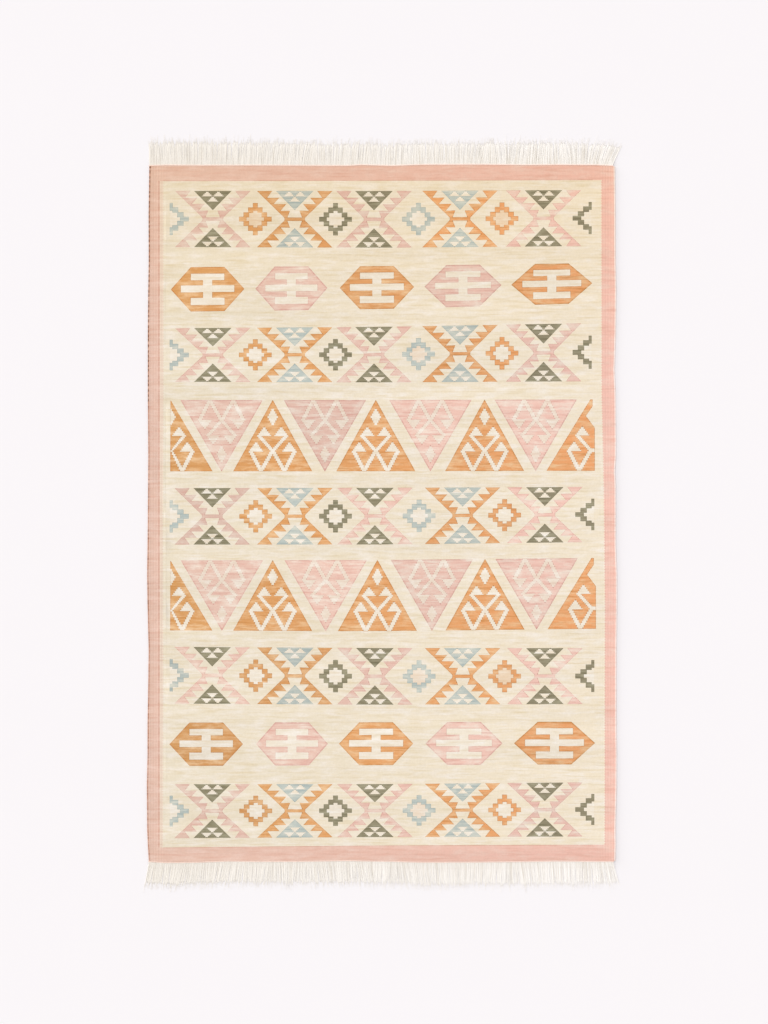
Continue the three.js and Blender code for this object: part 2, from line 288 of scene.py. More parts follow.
def weftWool(name, look):
    # Hand-woven wool, weft-faced: matt and slightly hairy, ribbed along the warps, each pass of
    # weft a small oval float set half a step off from its neighbours.
    material, tree = newMaterial("wool_weft_faced_" + name)
    place = addNode(tree, "TexCoord")
    axes = addNode(tree, "SeparateXYZ", inputs={0: (place, "Object")})
    streaks = stretchedNoise(tree, place, weave["streakSize"], 1.7, 3.0, 0.6)
    paleStreaks = stretchedNoise(tree, place, weave["streakSize"], 9.1, 2.0, 0.6)
    blotches = stretchedNoise(tree, place, weave["blotchSize"], 4.3, 4.0, 0.65)
    shades = stretchedNoise(tree, place, weave["shadeSize"], 3.1, 2.0, 0.5)
    fibres = addNode(tree, "TexNoise", inputs={
        "Vector": (place, "Object"), "Scale": 150.0, "Detail": 3.0, "Roughness": 0.7})

    # The dye, its paler blotches and streaks, and its deeper streaks.
    worn = paintedLightAcross(tree, axes, look)
    worn = mixTowards(tree, worn, look["pale"], blotches, weave["paleBlotches"], look["blotch"])
    worn = mixTowards(tree, worn, look["pale"], paleStreaks, weave["paleStreaks"], 0.6 * look["streak"])
    worn = mixTowards(tree, worn, look["deep"], streaks, weave["deepStreaks"], look["streak"])

    # The far end has seen the most sun: its colours are a little dimmer and yellower there.
    along = addNode(tree, "MapRange", inputs={
        "Value": (axes, "Y"), "From Min": weave["sunnedAlong"][0],
        "From Max": weave["sunnedAlong"][1]})
    sunned = addNode(tree, "Mix", {"data_type": "RGBA"}, {
        0: (along, "Result"), 6: (1, 1, 1, 1), 7: weave["sunned"]})
    worn = addNode(tree, "VectorMath", {"operation": "MULTIPLY"}, {0: worn, 1: (sunned, 2)})

    # Broad shades, fibres and the lot of the motif change how light the yarn is.
    broad = addNode(tree, "MapRange", inputs={
        "Value": (shades, "Fac"), "From Min": 0.3, "From Max": 0.7,
        "To Min": weave["shades"][0], "To Max": weave["shades"][1]})
    hairy = addNode(tree, "Math", {"operation": "MULTIPLY_ADD"}, {
        0: (fibres, "Fac"), 1: 0.2, 2: -0.1})
    lot = addNode(tree, "Attribute", {"attribute_name": "dyeLotAndShade"})
    lots = addNode(tree, "Math", {"operation": "MULTIPLY_ADD"}, {
        0: (lot, "Fac"), 1: 0.07 * look["lot"], 2: (hairy, 0)})
    total = addNode(tree, "Math", {"operation": "ADD"}, {0: (broad, "Result"), 1: (lots, 0)})

    # The ribs stand out along the sides, where the wefts turn round the selvedge.
    sideways = addNode(tree, "Math", {"operation": "ABSOLUTE"}, {0: (axes, "X")})
    ribShare = addNode(tree, "MapRange", inputs={
        "Value": (sideways, 0), "From Min": weave["ribsAcross"][0],
        "From Max": weave["ribsAcross"][1],
        "To Min": weave["ribsInField"] * look["rib"], "To Max": look["rib"]})
    ribs = addNode(tree, "TexWave", {"bands_direction": "X", "wave_profile": "SIN"}, {
        "Vector": (place, "Object"), "Scale": 2 * math.pi / 20 / (weave["ribPitch"] * mm),
        "Distortion": 1.2, "Detail": 1.0, "Detail Scale": 3.0})
    turned = addNode(tree, "CombineXYZ", inputs={0: (axes, "Y"), 1: (axes, "X")})
    floats = addNode(tree, "TexBrick", {"offset": 0.5}, {
        "Vector": (turned, "Vector"), "Scale": 1.0, "Mortar Size": 0.0007, "Mortar Smooth": 1.0,
        "Brick Width": weave["floatLength"] * mm, "Row Height": weave["warpPitch"] * mm,
        "Color1": (1, 1, 1, 1), "Color2": (0.9, 0.9, 0.9, 1), "Mortar": (0.35, 0.35, 0.35, 1)})
    ribRelief = addNode(tree, "Math", {"operation": "MULTIPLY"}, {
        0: (ribs, "Fac"), 1: (ribShare, "Result")})
    relief = addNode(tree, "Math", {"operation": "MULTIPLY_ADD"}, {
        0: (floats, "Color"), 1: weave["floatRelief"], 2: (ribRelief, 0)})
    relief = addNode(tree, "Math", {"operation": "MULTIPLY_ADD"}, {
        0: (streaks, "Fac"), 1: weave["streakRelief"], 2: (relief, 0)})
    # Painted shade: the colour is drawn darker in the hollows between ribs, a touch lighter on top.
    paintedGrooveShade = addNode(tree, "MapRange", inputs={
        "Value": (ribRelief, 0), "To Min": weave["grooveShade"][0], "To Max": weave["grooveShade"][1]})
    strength = addNode(tree, "Math", {"operation": "MULTIPLY"}, {
        0: (total, 0), 1: (paintedGrooveShade, "Result")})
    colour = addNode(tree, "VectorMath", {"operation": "SCALE"}, {
        0: (worn, 0), "Scale": (strength, 0)})
    bump = addNode(tree, "Bump", inputs={
        "Height": (relief, 0), "Strength": 0.5, "Distance": weave["reliefHeight"]})
    dull = addNode(tree, "MapRange", inputs={
        "Value": (fibres, "Fac"), "To Min": 0.82, "To Max": 0.97})
    shader = addNode(tree, "BsdfPrincipled", inputs={
        "Base Color": (colour, 0), "Roughness": (dull, "Result"), "Normal": (bump, "Normal"),
        "Specular IOR Level": 0.15, "Sheen Weight": 0.12, "Sheen Roughness": 0.55})
    addNode(tree, "OutputMaterial", inputs={"Surface": (shader, "BSDF")})
    return material


# What is woven, in millimetres from the middle of the cloth. Each patch is a yarn and a polygon,
# and a later patch lies over an earlier one.
patches = []
chance = random.Random(41)


def stepped(points):
    # A slanting edge between two yarns climbs in small steps, one warp at a time.
    out = []
    for (ax, ay), (bx, by) in zip(points, points[1:] + points[:1]):
        out.append((ax, ay))
        steps = round(abs(bx - ax) / weave["warpPitch"])
        if steps < 1 or abs(by - ay) < 1.5:
            continue
        for i in range(steps):
            y = ay + (by - ay) * (i + 0.5) / steps
            out.append((ax + (bx - ax) * i / steps, y))
            out.append((ax + (bx - ax) * (i + 1) / steps, y))
    return blunted(out)


def blunted(points):
    # At a tip the first half step goes out and back on itself: the tip ends flat instead.
    i = 0
    while i < len(points):
        (ax, ay), (bx, by), (cx, cy) = points[i - 1], points[i], points[(i + 1) % len(points)]
        cross = (bx - ax) * (cy - by) - (by - ay) * (cx - bx)
        back = (bx - ax) * (cx - bx) + (by - ay) * (cy - by)
        if math.dist((ax, ay), (bx, by)) < 0.01 or (abs(cross) < 0.01 and back < 0):
            points = points[:i] + points[i + 1:]
            i = max(0, i - 2)
        else:
            i += 1
    return points


def block(left, right, low, high):
    return [(left, low), (right, low), (right, high), (left, high)]


def mirrored(points, flipX=False, flipY=False):
    return [(-x if flipX else x, -y if flipY else y) for x, y in points]


def counterClockwise(points):
    area = sum(ax * by - bx * ay for (ax, ay), (bx, by) in zip(points, points[1:] + points[:1]))
    return points if area > 0 else points[::-1]


def widened(points, width):
    # The same outline, a little larger all round.
    out = []
    for i, (x, y) in enumerate(points):
        into = (Vector((x, y)) - Vector(points[i - 1])).normalized()
        onward = (Vector(points[(i + 1) % len(points)]) - Vector((x, y))).normalized()
        share = width / max(0.6, 1 + into.dot(onward))
        out.append((x + share * (into.y + onward.y), y - share * (into.x + onward.x)))
    return out


# A band runs between two lines that aren't quite level. Inside it, y goes from -1 to 1.
def layInBand(band, middleX, halfHeight, ground, shapes, lot, turned=True):
    # One layer of a motif: first the turned edges of the ground yarn in painted shade, then the shapes.
    def place(point):
        x = middleX + point[0]
        top, bottom = readLine(band["top"], x), readLine(band["bottom"], x)
        return x, (top + bottom) / 2 + point[1] / halfHeight * (top - bottom) / 2

    outlines = [(yarn, counterClockwise(points)) for yarn, points in shapes]
    for yarn, outline in outlines if turned else []:
        edge = [place(point) for point in widened(outline, weave["turning"])]
        patches.append(((ground or yarn) + "Turned", edge, lot))
    for yarn, outline in outlines:
        patches.append((yarn, [place(point) for point in stepped(outline)], lot))


def layGround(band, middleX, halfHeight, yarn, outline, lot):
    # The ground of a large motif: a rim darkened as painted shade, then the yarn itself.
    outline = counterClockwise(outline)
    layInBand(band, middleX, halfHeight, yarn, [(yarn + "Rim", outline)], lot)
    inside = widened(outline, -weave["rimShadeWidth"])
    layInBand(band, middleX, halfHeight, yarn, [(yarn, inside)], lot, False)


def bandLines(top, bottom):
    placed = (-720, 0, 720)
    return {"top": list(zip(placed, top)), "bottom": list(zip(placed, bottom))}


# Serrated crosses, with small stepped diamonds between them.
crossShape = {
    "halfHeight": 96.4,
    "halfWidth": 127.5,  # at the band's edges
    "waist": 34,
    "barHalf": 4.8,
    "toothAt": [96.4, 72.8, 51.3, 28.0],  # flat side of each tooth, from the middle
    "toothLength": [49, 49, 51, 40],
    "spine": 7.5,  # narrow end of a tooth
}
wedgeShape = {"halfBase": 62.5, "depth": 64, "smallHalf": 18.5, "smallDepth": 18, "smallGap": 19}
diamondTiers = [  # heights from the middle of the diamond; half widths of the tier and of its hollow
    {"low": 39.2, "high": 54.4, "outer": 7.2, "hollow": 0.0},
    {"low": 29.8, "high": 39.2, "outer": 23.6, "hollow": 0.0},
    {"low": 22.4, "high": 29.8, "outer": 23.6, "hollow": 8.0},
    {"low": 7.2, "high": 22.4, "outer": 39.4, "hollow": 22.4},
    {"low": 0.0, "high": 7.2, "outer": 54.8, "hollow": 31.0},
]
halfDiamondWiden = 1.15


def layCross(band, middleX, yarn, wedgeYarn, lot):
    shape, wedge = crossShape, wedgeShape
    half = shape["halfHeight"]
    edges = shape["toothAt"] + [shape["barHalf"]]

    def outer(y):
        share = (y - shape["barHalf"]) / (half - shape["barHalf"])
        return shape["waist"] + (shape["halfWidth"] - shape["waist"]) * share

    coloured, cream = [], []
    for flipY in (False, True):
        for flipX in (False, True):
            for i, length in enumerate(shape["toothLength"]):
                top, bottom = edges[i], edges[i + 1]
                tooth = [(outer(top), top), (outer(top) - length, top),
                         (outer(bottom) - shape["spine"], bottom), (outer(bottom), bottom)]
                coloured.append((yarn, mirrored(tooth, flipX, flipY)))
        big = [(-wedge["halfBase"], half), (0, half - wedge["depth"]), (wedge["halfBase"], half)]
        coloured.append((wedgeYarn, mirrored(big, False, flipY)))
        rowBase = half - wedge["smallDepth"]
        for x, drop in ((-wedge["smallGap"], 0), (wedge["smallGap"], 0), (0, wedge["smallDepth"])):
            small = [(x - wedge["smallHalf"], rowBase - drop), (x + wedge["smallHalf"], rowBase - drop),
                     (x, half - drop)]
            cream.append(("motifCream", mirrored(small, False, flipY)))
    waist, bar = shape["waist"], shape["barHalf"]
    coloured.append((yarn, block(-waist, waist, -bar, bar)))
    layInBand(band, middleX, half, None, coloured, lot)
    layInBand(band, middleX, half, wedgeYarn, cream, lot)


def layDiamond(band, axisX, yarn, middleYarn, lot, sides=(-1, 1), widen=1.0):
    ring, middle = [], []
    for tier in diamondTiers:
        outer, hollow, low, high = (tier[key] for key in ("outer", "hollow", "low", "high"))
        spans = [(low, high), (-high, -low)] if low > 0 else [(-high, high)]
        for down, up in spans:
            for side in sides:
                near, far = side * hollow * widen, side * outer * widen
                ring.append((yarn, block(*sorted((near, far)), down, up)))
                if hollow > 0:
                    middle.append((middleYarn, block(*sorted((0, near)), down, up)))
    layInBand(band, axisX, crossShape["halfHeight"], None, middle, 0.0, False)
    layInBand(band, axisX, crossShape["halfHeight"], None, ring, lot)


crossBands = [  # warm: which diamonds have a warm middle
    {"lines": bandLines((1102.4, 1102.1, 1105.5), (911.7, 909.5, 915.0)), "drift": 0, "warm": (0, 3)},
    {"lines": bandLines((632.8, 637.6, 650.2), (450.9, 448.8, 452.9)), "drift": 0, "warm": (2,)},
    {"lines": bandLines((86.0, 87.0, 90.4), (-105.8, -105.5, -97.3)), "drift": 1, "warm": ()},
    {"lines": bandLines((-456.7, -461.1, -461.1), (-649.5, -653.3, -650.9)), "drift": 1, "warm": (2, 3)},
    {"lines": bandLines((-926.2, -926.2, -920.0), (-1109.8, -1106.0, -1104.0)), "drift": 1, "warm": (2,)},
]
crossRow = [  # x in the upper two bands, and how far it moves in the lower three
    {"x": -575.0, "move": -2.0, "yarn": "motifPink", "wedge": "sage"},
    {"x": -294.9, "move": 0.5, "yarn": "apricot", "wedge": "mistBlue"},
    {"x": -23.8, "move": 3.0, "yarn": "motifPink", "wedge": "sage"},
    {"x": 270.3, "move": 9.0, "yarn": "apricot", "wedge": "mistBlue"},
    {"x": 555.9, "move": 4.5, "yarn": "motifPink", "wedge": "sage"},
]
diamondRow = [
    {"x": -429.7, "move": 1.5, "yarn": "apricot", "warmMiddle": "peachCream"},
    {"x": -155.4, "move": 0.0, "yarn": "sage", "warmMiddle": "motifCream"},
    {"x": 128.4, "move": 2.0, "yarn": "mistBlue", "warmMiddle": "shellCream"},
    {"x": 413.9, "move": 9.0, "yarn": "apricot", "warmMiddle": "peachCream"},
]
halfDiamonds = [
    {"x": -721.4, "move": 0.0, "yarn": "mistBlue", "side": 1},
    {"x": 719.6, "move": 9.0, "yarn": "sage", "side": -1},
]
for band in crossBands:
    for cross in crossRow:
        layCross(band["lines"], cross["x"] + band["drift"] * cross["move"], cross["yarn"],
                 cross["wedge"], chance.uniform(-1, 1))
    for i, diamond in enumerate(diamondRow):
        x = diamond["x"] + band["drift"] * diamond["move"]
        middleYarn = diamond["warmMiddle"] if i in band["warm"] else "motifCream"
        layDiamond(band["lines"], x, diamond["yarn"], middleYarn, chance.uniform(-1, 1))
    for diamond in halfDiamonds:
        layDiamond(band["lines"], diamond["x"] + band["drift"] * diamond["move"], diamond["yarn"],
                   "motifCream", chance.uniform(-1, 1), (diamond["side"],), halfDiamondWiden)

# Six-sided medallions with a barred cream figure.
medallionShape = {
    "halfHeight": 73,
    "halfFlat": 57,
    "bars": [  # from the middle of the medallion
        {"up": 41.0, "half": 10.8, "reach": 0.46},  # reach is the share of the half width
        {"up": 1.5, "half": 11.4, "reach": 0.735},
        {"up": -41.0, "half": 12.0, "reach": 0.465},
    ],
    "stemHalf": 15.5,
}
medallionBands = [
    {"lines": bandLines((841.1, 845.0, 855.1), (690.6, 700.1, 720.0)),
     "row": [(-592.8, 124.3), (-306.2, 121.4), (-13.9, 125.7), (280.6, 130), (584.2, 137)]},
    {"lines": bandLines((-716.2, -715.0, -713.0), (-862.2, -859.5, -857.0)),
     "row": [(-597.6, 124.3), (-304.2, 121.4), (-16.6, 125.7), (284.0, 130), (593.5, 137)]},
]


def layMedallion(band, middleX, halfWidth, yarn, lot):
    shape = medallionShape
    half, flat = shape["halfHeight"], shape["halfFlat"]
    hexagon = [(-halfWidth, 0), (-flat, -half), (flat, -half),
               (halfWidth, 0), (flat, half), (-flat, half)]
    layGround(band, middleX, half, yarn, hexagon, lot)
    cream = []
    for bar in shape["bars"]:
        low, high, end = bar["up"] - bar["half"], bar["up"] + bar["half"], bar["reach"] * halfWidth
        cream.append(("motifCream", block(-end, end, low, high)))
    top, bottom = shape["bars"][0]["up"], shape["bars"][-1]["up"]
    stem = shape["stemHalf"]
    cream.append(("motifCream", block(-stem, stem, bottom, top)))
    layInBand(band, middleX, half, yarn, cream, lot)


for band in medallionBands:
    for i, (middleX, halfWidth) in enumerate(band["row"]):
        layMedallion(band["lines"], middleX, halfWidth, ("apricot", "motifPink")[i % 2],
                     chance.uniform(-1, 1))

# Triangles with a hooked figure: apricot ones stand, pink ones hang between them.
triangleShape = {"halfHeight": 120.9, "halfBase": 133.5, "halfHanging": 139, "cutBase": 142}
# The right half of the hooked figure of a standing triangle; y is up from the band's middle.
hookFigure = [
    [(0, 95.2), (17.8, 63.8), (0, 32.3)],  # half of the lozenge
    [(29.1, 31.3), (53.0, -1.2), (5.1, -1.2)],
    [(38.3, -1.2), (53.7, -1.2), (7.9, -52.5), (-7.5, -52.5)],
    [(56.8, -20.3), (82.1, -54.5), (32.5, -54.5)],
    [(67.0, -54.5), (82.1, -54.5), (47.5, -120.9), (32.5, -120.9)],
    [(-7.5, -51.4), (7.5, -51.4), (47.5, -120.9), (32.5, -120.9)],
]
# The band starts with the right half of a standing triangle and ends with the left part of one,
# notched where its lozenge would be.
lastTriangle = [(-150, -120.9), (12.6, -120.9), (12.6, 25), (-18, 65), (5.5, 99.5), (5.5, 120.9),
                (-1, 120.9)]
lastCrossing = block(-4, 12.6, -58.0, -45.5)
triangleBands = [
    {"lines": bandLines((386.9, 386.9, 389.0), (145.2, 145.2, 147.0)),
     "standing": [-370.2, -17.6, 354.4], "hanging": [-544.9, -191.7, 169.1, 529.2],
     "first": -719.5, "last": 717.5},
    {"lines": bandLines((-161.9, -160.2, -153.4), (-398.9, -402.0, -393.1)),
     "standing": [-370.2, -12.1, 355.8], "hanging": [-543.9, -188.9, 174.2, 532.3],
     "first": -720.0, "last": 721.5},
]


def layTriangle(band, middleX, yarns, outline, figure, lot):
    half = triangleShape["halfHeight"]
    if len(outline) == 3:  # the notched one is too narrow for a rim
        layGround(band, middleX, half, yarns[0], outline, lot)
    else:
        layInBand(band, middleX, half, None, [(yarns[0], outline)], lot)
    layInBand(band, middleX, half, yarns[0], [(yarns[1], part) for part in figure], lot)


halfHeight, halfBase = triangleShape["halfHeight"], triangleShape["halfBase"]
standing = [(-halfBase, -halfHeight), (halfBase, -halfHeight), (0, halfHeight)]
hanging = [(-triangleShape["halfHanging"], halfHeight), (triangleShape["halfHanging"], halfHeight),
           (0, -halfHeight)]
firstTriangle = [(0, -halfHeight), (triangleShape["cutBase"], -halfHeight), (0, halfHeight)]
figure = hookFigure + [mirrored(part, True) for part in hookFigure]
hangingFigure = [mirrored(part, False, True) for part in figure]
firstFigure = [[(max(0, x), y) for x, y in part] for part in hookFigure]
lastFigure = [mirrored(part, True) for part in hookFigure[1:]] + [lastCrossing]
pinkYarns, apricotYarns = ("motifPink", "fadedCream"), ("apricot", "motifCream")
for band in triangleBands:
    for middleX in band["hanging"]:
        layTriangle(band["lines"], middleX, pinkYarns, hanging, hangingFigure, chance.uniform(-1, 1))
    for middleX in band["standing"]:
        layTriangle(band["lines"], middleX, apricotYarns, standing, figure, chance.uniform(-1, 1))
    layTriangle(band["lines"], band["first"], apricotYarns, firstTriangle, firstFigure, 0.3)
    layTriangle(band["lines"], band["last"], apricotYarns, lastTriangle, lastFigure, -0.2)
print("charted", len(patches), "patches")

# The cloth itself; lengths in millimetres.
cloth = {
    "faceProfile": [(0, 3.4), (2.2, 4.9), (5.4, 4.9), (8.5, 4.0)],  # corded selvedge, by inset
    "sideRings": [(0.35, 2.9), (0.0, 2.2), (0.25, 1.1)],  # inset and height down the rounded side
    "drawnIn": 1.0,
    "stationStep": 9.0,
    "gridStep": 32.0,
    "bindingWidth": 4.6,
    "dovetail": 1.3,  # the rose border and the field share every other warp along their seam
    "dovetailStep": 4.6,
    "seamWidth": 1.8,
    "softSeam": (-760.5, -757.0, -736.0),  # left seam: a turn in painted shade, then the two yarns mixed
    "selvedgeWidth": 5.0,
    "whipping": {"from": 1175, "to": 380, "pitch": 17, "length": 8.5, "width": 4.4},
    "rimFrom": (790, 1170),  # the solid's edges lie further out than this
    "leftDrawnIn": 3.1,  # the left side pulls in and the right one eases out a little
    "rightEasedOut": 4.2,
    "fieldLeft": [(-1140, -746), (-600, -745), (0, -746), (400, -744), (1140, -745)],
    "fieldRight": [(-1140, 765), (-300, 766), (100, 762), (400, 755), (1140, 753.5)],
    "fieldTop": [(-755, 1136.5), (0, 1138), (755, 1140)],
    "fieldBottom": [(-755, -1142.5), (0, -1135.5), (760, -1132.7)],
    "fieldHalf": 700,  # how far out the two ends of the field are sampled
    "seamHalf": 745,
    "bindingSteps": 200,
    "pastEdge": 20,  # strips along the edge run on past it and are cut off there
    "darkCorner": (5.5, 7),
    "whippingSlack": 5,
    "gridHalf": (24, 37),
    "gridStray": 4,
    "gridInset": 14,
    "gridEnd": 1180,
}
# How far the cloth stands off the floor, in millimetres, and how long its waves are. The right
# side curls up a little.
unevenness = {
    "rest": 0.5,
    "least": 0.05,
    "broad": 0.30,
    "broadWave": (138, 205),
    "small": 0.2,
    "smallWave": (61, 97),
    "curlFrom": 690,
    "curlOver": 110,
    "curl": 0.9,
    "curlSwing": 0.5,
    "curlWave": 170,
}
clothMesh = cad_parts["woven_cloth"].data
cadRim = [((v.co - clothMiddle) / mm, v.co.z / mm) for v in clothMesh.vertices]


def sideLine(side):
    moved = cloth["leftDrawnIn"] if side < 0 else cloth["rightEasedOut"]
    return sorted({(round(p.y, 2), round(p.x + moved, 3))
                   for p, z in cadRim if side * p.x > cloth["rimFrom"][0] and abs(z - 2.2) < 0.1})


def endLine(end):
    return sorted({(round(p.x, 2), round(p.y, 3))
                   for p, z in cadRim if end * p.y > cloth["rimFrom"][1] and z > 3})


leftLine, rightLine, farLine, nearLine = sideLine(-1), sideLine(1), endLine(1), endLine(-1)


def lift(x, y):
    # Limp wool on a hard floor: it never lies quite flat.
    u = unevenness
    (broadX, broadY), (smallX, smallY) = u["broadWave"], u["smallWave"]
    wave = u["rest"] + u["broad"] * math.sin(x / broadX + 1.1) * math.sin(y / broadY + 0.4)
    wave += u["small"] * math.sin(x / smallX + y / smallY)
    curl = u["curl"] + u["curlSwing"] * math.sin(y / u["curlWave"] + 2.0)
    return max(u["least"], wave) + smooth((x - u["curlFrom"]) / u["curlOver"]) * curl


def outlineLoop():
    # Counter-clockwise from the near left corner, drawn in at the sides to the top of their round.
    step, inset = cloth["stationStep"], cloth["drawnIn"]
    low, high = leftLine[0][0], leftLine[-1][0]
    rows = round((high - low) / step)
    columns = round((farLine[-1][0] - farLine[0][0]) / step)
    xs = evenly(farLine[0][0], farLine[-1][0], columns)
    near = [(x, readLine(nearLine, x)) for x in xs]
    far = [(x, readLine(farLine, x)) for x in xs[::-1]]
    ys = [i / rows for i in range(1, rows)]
    right = [near[-1][1] + (far[0][1] - near[-1][1]) * share for share in ys]
    left = [far[-1][1] + (near[0][1] - far[-1][1]) * share for share in ys]

    def atLeft(y):
        return readLine(leftLine, y) + inset, y

    def atRight(y):
        return readLine(rightLine, y) - inset, y

    near[0], near[-1] = atLeft(near[0][1]), atRight(near[-1][1])
    far[0], far[-1] = atRight(far[0][1]), atLeft(far[-1][1])
    return near + [atRight(y) for y in right] + far + [atLeft(y) for y in left]


def sideInset(x, y):
    return min(x - readLine(leftLine, y), readLine(rightLine, y) - x)


def fieldOutline():
    # The side seams are dovetailed: the two yarns turn round the shared warp by turns.
    def seam(line, low, high):
        count = round((high - low) / cloth["dovetailStep"])
        points, ys = [], evenly(low, high, count)
        for i in range(count):
            shift = cloth["dovetail"] * (1 if i % 2 else -1)
            points += [(readLine(line, y) + shift, y) for y in ys[i:i + 2]]
        return points

    topLeft, topRight = cloth["fieldTop"][0][1], cloth["fieldTop"][-1][1]
    lowLeft, lowRight = cloth["fieldBottom"][0][1], cloth["fieldBottom"][-1][1]
    right = seam(cloth["fieldRight"], lowRight, topRight)
    left = seam(cloth["fieldLeft"], lowLeft, topLeft)[::-1]
    xs = range(-cloth["fieldHalf"], cloth["fieldHalf"] + 1, 50)
    return ([(x, readLine(cloth["fieldBottom"], x)) for x in xs] + right
            + [(x, readLine(cloth["fieldTop"], x)) for x in reversed(xs)] + left)


def bindingOutline(line, width, outwards):
    # The corded selvedge, whipped round with a yarn of its own. Its colour carries painted shade on the
    # left and a painted highlight on the right.
    low, high, past = line[0][0], line[-1][0], cloth["pastEdge"]
    inner = [(readLine(line, y) - outwards * width, y)
             for y in evenly(low, high, cloth["bindingSteps"])]
    outer = outwards * 830
    outline = [(outer, low - past), (inner[0][0], low - past)] + inner
    return counterClockwise(outline + [(inner[-1][0], high + past), (outer, high + past)])


def seamStrip(line):
    # The last pass of the border's yarn before the field begins, darkened with painted shade.
    width = cloth["seamWidth"]
    xs = range(-cloth["seamHalf"], cloth["seamHalf"] + 1, 30)
    return ([(x, readLine(line, x) - width) for x in xs]
            + [(x, readLine(line, x) + width) for x in reversed(xs)])


def makeCloth():
    loop = outlineLoop()
    seam, farY, nearY = cloth["softSeam"], cloth["fieldTop"][0][1], cloth["fieldBottom"][0][1]
    top = leftLine[-1][0]
    corner, past, dark = readLine(leftLine, top), cloth["pastEdge"], cloth["darkCorner"]
    polygons = [
        ("dustyRose", loop, 0.0),
        # The left selvedge and its top corner: dark binding yarns, partly painted shade of that edge.
        ("terracotta", bindingOutline(leftLine, cloth["bindingWidth"], -1), 0.0),
        # Painted highlight: the right selvedge in a near-white rose.
        ("paleRose", bindingOutline(rightLine, cloth["selvedgeWidth"], 1), 0.0),
        ("darkBrown", block(corner - past, corner + dark[0], top - dark[1], top + past), 0.0),
        ("dustyRoseTurned", block(seam[0], seam[1], nearY, farY), 0.0),
        ("seamCream", block(seam[1], seam[2], nearY, farY), 0.0),
    ]
    # Dark whipping down the upper left side; its colour is partly painted shade of that edge.
    whipping = cloth["whipping"]
    for i in range(round((whipping["from"] - whipping["to"]) / whipping["pitch"])):
        y = whipping["from"] - i * whipping["pitch"] - chance.uniform(0, cloth["whippingSlack"])
        x = readLine(leftLine, y)
        wrap = block(x - past, x + whipping["width"], y - whipping["length"], y)
        polygons.append(("darkBrown", wrap, 0.0))
    for line in (cloth["fieldTop"], cloth["fieldBottom"]):
        polygons.append(("dustyRoseTurned", seamStrip(line), 0.0))
    polygons += [("fieldCream", fieldOutline(), 0.0)] + patches
    points, faces, edges = [], [], []
    for _, outline, _ in polygons:
        faces.append(list(range(len(points), len(points) + len(outline))))
        points += outline
    low, high = leftLine[0][0] + 1, leftLine[-1][0] - 1
    stations = round((high - low) / cloth["stationStep"])
    for line, inwards in ((leftLine, 1), (rightLine, -1)):
        for inset, _ in cloth["faceProfile"][1:]:
            start = len(points)
            points += [(readLine(line, y) + inwards * inset, y) for y in evenly(low, high, stations)]
            edges += [(i, i + 1) for i in range(start, start + stations)]
    step, stray, (halfAcross, halfAlong) = cloth["gridStep"], cloth["gridStray"], cloth["gridHalf"]
    grid = []
    for i in range(-halfAcross, halfAcross + 1):
        for k in range(-halfAlong, halfAlong + 1):
            x = i * step + chance.uniform(-stray, stray)
            y = k * step + chance.uniform(-stray, stray)
            if sideInset(x, y) > cloth["gridInset"] and abs(y) < cloth["gridEnd"]:
                grid.append((x, y))
    points += grid

    flat = [Vector(point) for point in points]
    made, _, triangles, _, _, sources = delaunay_2d_cdt(flat, edges, faces, 1, 1e-4)
    kept = [(triangle, max(source)) for triangle, source in zip(triangles, sources)
            if source and min(source) == 0]
    print("cloth triangles on one face:", len(kept), "of", len(triangles))

    used = {i for triangle, _ in kept for i in triangle}
    index = {old: new for new, old in enumerate(sorted(used))}
    flatPoints = [(made[old].x, made[old].y) for old in sorted(used)]

    def lifted(x, y, z):
        return inRoom(x, y, z + lift(x, y))

    def faceHeight(x, y):
        inset = sideInset(x, y)
        return readLine(cloth["faceProfile"], inset - cloth["drawnIn"] * (inset < 1.5))

    vertices = [lifted(x, y, faceHeight(x, y)) for x, y in flatPoints]
    outFaces, slots, lots, seen = [], [], [], {}
    for triangle, source in kept:
        a, b, c = (index[i] for i in triangle)
        yarn, _, lot = polygons[source]
        outFaces.append((a, b, c))
        slots.append(yarnOrder.index(yarn))
        lots.append(lot)
        for pair in ((a, b), (b, c), (c, a)):
            seen[pair] = yarn
    rim = {a: b for a, b in seen if (b, a) not in seen}
    loopOrder = [next(iter(rim))]
    while rim[loopOrder[-1]] != loopOrder[0]:
        loopOrder.append(rim[loopOrder[-1]])

    # The underside has no pattern to show: it is closed with plain rose wefts, in larger triangles.
    rimPoints = [flatPoints[i] for i in loopOrder]
    under, _, underTriangles, fromPoint, _, _ = delaunay_2d_cdt(
        [Vector(point) for point in rimPoints + grid], [], [list(range(len(rimPoints)))], 1, 1e-4)
    firstUnder = len(vertices)
    vertices += [lifted(point.x, point.y, 0.0) for point in under]
    underRim = {}
    for i, origins in enumerate(fromPoint):
        for origin in origins:
            if origin < len(rimPoints):
                underRim[loopOrder[origin]] = firstUnder + i
    for a, b, c in underTriangles:
        outFaces.append((c + firstUnder, b + firstUnder, a + firstUnder))

    rings = {}
    for i in loopOrder:
        x, y = flatPoints[i]
        isSide = sideInset(x, y) < cloth["drawnIn"] + 0.6
        outwards = (1 if x > 0 else -1) if isSide else 0
        chain = [i]
        for inset, height in cloth["sideRings"]:
            vertices.append(lifted(x + outwards * (cloth["drawnIn"] - inset), y, height))
            chain.append(len(vertices) - 1)
        rings[i] = chain + [underRim[i]]
    slots += [yarnOrder.index("dustyRose")] * len(underTriangles)
    for a in loopOrder:
        b = rim[a]
        for k in range(len(rings[a]) - 1):
            outFaces.append((rings[b][k], rings[a][k], rings[a][k + 1], rings[b][k + 1]))
            slots.append(yarnOrder.index(seen[(a, b)]))
    lots += [0.0] * (len(outFaces) - len(lots))

